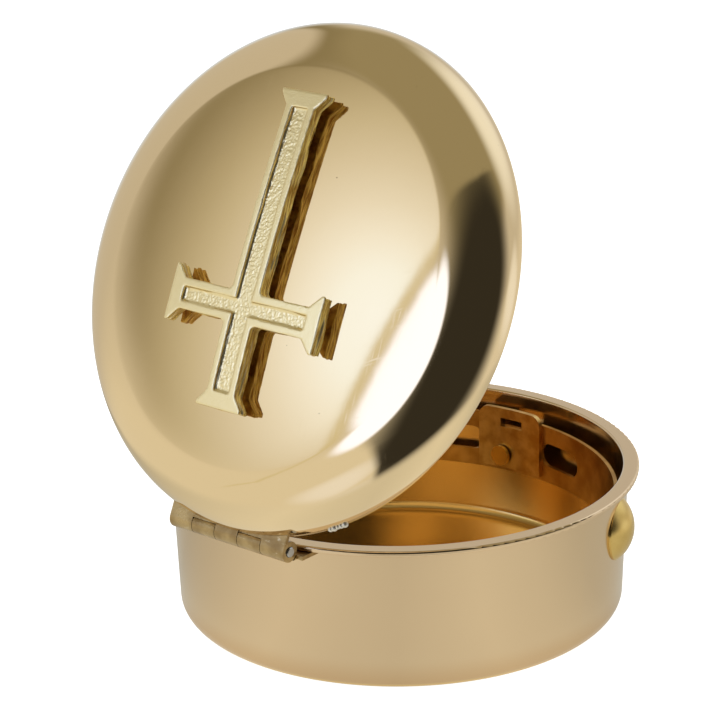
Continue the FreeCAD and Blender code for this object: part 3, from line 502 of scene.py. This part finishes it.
def flat_on_lid(tree, output):
    """The piece's own coordinates or normal, turned so that Z is the lid's axis."""
    inputs = {"Vector": tree.node("ShaderNodeTexCoord", output=output), "Angle": -OPEN}
    return tree.node("ShaderNodeVectorRotate", {"rotation_type": "X_AXIS"}, inputs)


def bend(start, size, begin, end, steps):
    """Points of a bend as (radius, height, slope), from a steep slope to a flat one."""
    turns = [begin + (end - begin) * step / steps for step in range(1, steps + 1)]
    return [(start[0] - size * (math.sin(begin) - math.sin(turn)),
             start[1] + size * (math.cos(turn) - math.cos(begin)), turn) for turn in turns]


def spun(name, points, around):
    """A closed section in millimetres turned about Z; points on the axis make one vertex."""
    spots, columns = [], []
    for column in range(around):
        turn = math.tau * column / around
        row = []
        for index, (r, h) in enumerate(points):
            if r < ON_AXIS and column:
                row.append(columns[0][index])
            else:
                row.append(len(spots))
                spots.append((r * math.sin(turn) * MM, r * math.cos(turn) * MM, h * MM))
        columns.append(row)
    faces = []
    for one, two in zip(columns, columns[1:] + columns[:1]):
        for index in range(len(points)):
            after = (index + 1) % len(points)
            corners = [one[index], two[index], two[after], one[after]]
            corners = [c for n, c in enumerate(corners) if c not in corners[:n]]
            if len(corners) > 2:
                faces.append(corners)
    mesh = bpy.data.meshes.new(name)
    mesh.from_pydata(spots, [], faces)
    mesh.shade_smooth()
    return placed(name, mesh)


def boxed(name, low, high):
    """A plain block between two corners in millimetres, used only to cut."""
    corners = [(x * MM, y * MM, z * MM)
               for x in (low[0], high[0]) for y in (low[1], high[1]) for z in (low[2], high[2])]
    faces = [(0, 1, 3, 2), (4, 6, 7, 5), (0, 4, 5, 1), (2, 3, 7, 6), (0, 2, 6, 4), (1, 5, 7, 3)]
    mesh = bpy.data.meshes.new(name)
    mesh.from_pydata(corners, [], faces)
    return placed(name, mesh)


def settle(piece):
    """Make a piece's modifiers part of its mesh."""
    graph = bpy.context.evaluated_depsgraph_get()
    made = bpy.data.meshes.new_from_object(piece.evaluated_get(graph))
    piece.modifiers.clear()
    piece.data = made


def dress(piece, material):
    """Give a piece made here its finish."""
    piece.data.materials.clear()
    piece.data.materials.append(material)


slope_foot = LID_RADIUS - SHOULDER * (1 - math.sin(SLOPE))
dome_edge = math.asin((slope_foot - BLEND * math.sin(SLOPE)) / (DOME - BLEND))
skin = [(LID_RADIUS, RIM_ROUND, UPRIGHT), (LID_RADIUS, SKIRT, UPRIGHT)]
skin += bend(skin[-1], SHOULDER, UPRIGHT, SLOPE, SHOULDER_STEPS)
skin += bend(skin[-1], BLEND, SLOPE, dome_edge, BLEND_STEPS)
skin += bend(skin[-1], DOME, dome_edge, 0.0, DOME_STEPS)
outer = [(r, h) for r, h, _ in skin]
under = [(r - SHEET * math.sin(a), h - SHEET * math.cos(a)) for r, h, a in reversed(skin)]
edge = [(LID_RADIUS - SHEET + RIM_ROUND, 0.0), (LID_RADIUS - RIM_ROUND, 0.0),
        (LID_RADIUS - RIM_ROUND_MIDDLE, RIM_ROUND_MIDDLE)]
section = [(r if r > ON_AXIS else 0.0, h) for r, h in outer + under + edge]

lid = spun("lid_skin", section, AROUND)
notch = boxed("notch", (-NOTCH_HALF, -LID_RADIUS - PAST, -PAST), (NOTCH_HALF, -NOTCH_DEPTH, NOTCH_RISE))
cut = lid.modifiers.new("notch", "BOOLEAN")
cut.object = notch
cut.solver = "EXACT"
settle(lid)
bpy.data.objects.remove(notch)
lid.data.transform(lid_place)
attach(lid, "lid")
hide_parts("lid_shell")

mirror, tree = finish("lid_polished_gold")
spot = flat_on_lid(tree, "Object")
smears = grain(tree, spot, 6 * MM, 3.0)
hairs = grain(tree, spot, HAIR, 2.0, (1.0, 0.035, 0.3))
slanted = tree.node("ShaderNodeVectorRotate", {"rotation_type": "Z_AXIS"}, {"Vector": spot, "Angle": SLANT})
slanted_hairs = grain(tree, slanted, HAIR, 2.0, (1.0, 0.05, 0.3))
scratches = hairs.rise(0.62, 0.74).most(slanted_hairs.rise(0.64, 0.76)) * smears.rise(0.40, 0.60)
pits = grain(tree, spot, 0.5 * MM, 1.0).rise(0.835, 0.86)
metal(tree, Base_Color=tree.mix(pits * 0.8, GOLD, PIT),
      Roughness=0.035 + smears * 0.03 + scratches * 0.06 + pits * 0.2,
      Normal=ripple(tree, smears, 0.004 * MM))
dress(lid, mirror)

# ---------------------------------------------------------------- cross
# Cast and gilded, bent to the dome: a smooth raised border round a sunk, grained channel,
# its sides left rough from the mould and coloured with painted shade streaked with painted
# highlight along its layers. Two studs on its back are peened inside the lid.

CROSS_GAP, CROSS_THICKNESS = 0.4, 1.5
DOME_RISE = 5.55
DOME_MIDDLE = Vector((0, 0, (SKIRT + DOME_RISE - DOME) * MM))
CROSS_FACE = (DOME + CROSS_GAP + CROSS_THICKNESS) * MM
CROSS_GRID = 0.085 * MM
SMOOTHING = 12
# depths under the face at which the rough sides end and the channel's floor starts
SIDES_END, FLOOR_START = 1.7 * MM, 0.33 * MM
# how squarely a side at most, and the floor at least, faces out of the dome
SIDE_FACING, FLOOR_FACING = 0.6, 0.75
# the mould's layers: steps of the noise in a millimetre, its middle, and depth in mm
LAYER_STEPS, LAYER_MIDDLE, LAYER_DEPTH = (0.35, 0.35, 3.2), 0.45, 0.26
# the floor's grit: coarse and fine size, middle of the noise, and depth in mm
GRIT_COARSE, GRIT_FINE, GRIT_MIDDLE, GRIT_DEPTH = 0.20 * MM, 0.12 * MM, 0.1, 0.035
SIDE_PAINTED_SHADE, SIDE_PAINTED_HIGHLIGHT, FACE_GILT = (0.46, 0.23, 0.03), (1.0, 0.74, 0.20), (1.0, 0.85, 0.50)


def copied(node, name):
    """A new piece with a CAD node's shape, its seams closed."""
    mesh = nodes[node].data.copy()
    mesh.name = name
    work = bmesh.new()
    work.from_mesh(mesh)
    bmesh.ops.remove_doubles(work, verts=work.verts, dist=1e-6)
    work.to_mesh(mesh)
    work.free()
    return placed(name, mesh)


cross = copied("lid_cross", "cross_cast")
cross.data.transform(lid_place.inverted())
grid = cross.modifiers.new("grid", "REMESH")
grid.mode = "VOXEL"
grid.voxel_size = CROSS_GRID
grid.use_smooth_shade = True
rounding = cross.modifiers.new("rounding", "SMOOTH")
rounding.factor = 0.5
rounding.iterations = SMOOTHING
settle(cross)

# the mould's layers show on the sides, and the channel's floor is grained
normals = [normal.vector.copy() for normal in cross.data.vertex_normals]
for vertex, normal in zip(cross.data.vertices, normals):
    spoke = vertex.co - DOME_MIDDLE
    height = spoke.length - CROSS_FACE
    if height < -SIDES_END:
        continue
    facing = normal.dot(spoke.normalized())
    side = max(0.0, 1 - facing / SIDE_FACING) if facing > 0 else 1.0
    floor = facing > FLOOR_FACING and height < -FLOOR_START
    steps = [place * scale for place, scale in zip((vertex.co.x, vertex.co.y, height), LAYER_STEPS)]
    layer = noise.noise(Vector(steps) / MM) - LAYER_MIDDLE
    grit = noise.noise(vertex.co / GRIT_COARSE) + 0.5 * noise.noise(vertex.co / GRIT_FINE) - GRIT_MIDDLE
    vertex.co += normal * (side * layer * LAYER_DEPTH + floor * grit * GRIT_DEPTH) * MM
cross.data.update()
cross.data.transform(lid_place)
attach(cross, "lid")
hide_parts("lid_cross")

gilding, tree = finish("cross_gilt")
spot = flat_on_lid(tree, "Object")
face = flat_on_lid(tree, "Normal").along((0, 0, 1)).rise(0.35, 0.75)
sand = grain(tree, spot, 0.16 * MM, 3.0)
layers = grain(tree, spot, 0.4 * MM, 3.0, (0.25, 0.25, 3.0))
# the sides' colour is painted shade, streaked with painted highlight along the mould's layers
sides = tree.mix(layers.rise(0.35, 0.65), SIDE_PAINTED_SHADE, SIDE_PAINTED_HIGHLIGHT)
metal(tree, Base_Color=tree.mix(face, sides, FACE_GILT),
      Roughness=0.34 - face * 0.08 + sand * 0.06, Metallic=0.10 + face * 0.90,
      Normal=ripple(tree, sand * 0.4 + layers * 3 * (1 - face), 0.05 * MM))
dress(cross, gilding)

# ---------------------------------------------------------------- solder
# A little run of solder left on the rim beside the hinge.

SOLDER, SOLDER_GREY = (0.92, 0.88, 0.80), (0.74, 0.70, 0.62)

solder, tree = finish("solder_grey")
lumps = grain(tree, place_on(tree), 0.3 * MM, 3.0)
metal(tree, Base_Color=tree.mix(lumps, SOLDER, SOLDER_GREY), Roughness=0.5,
      Normal=ripple(tree, lumps, 0.015 * MM))
coat("rim_solder_bead", solder)
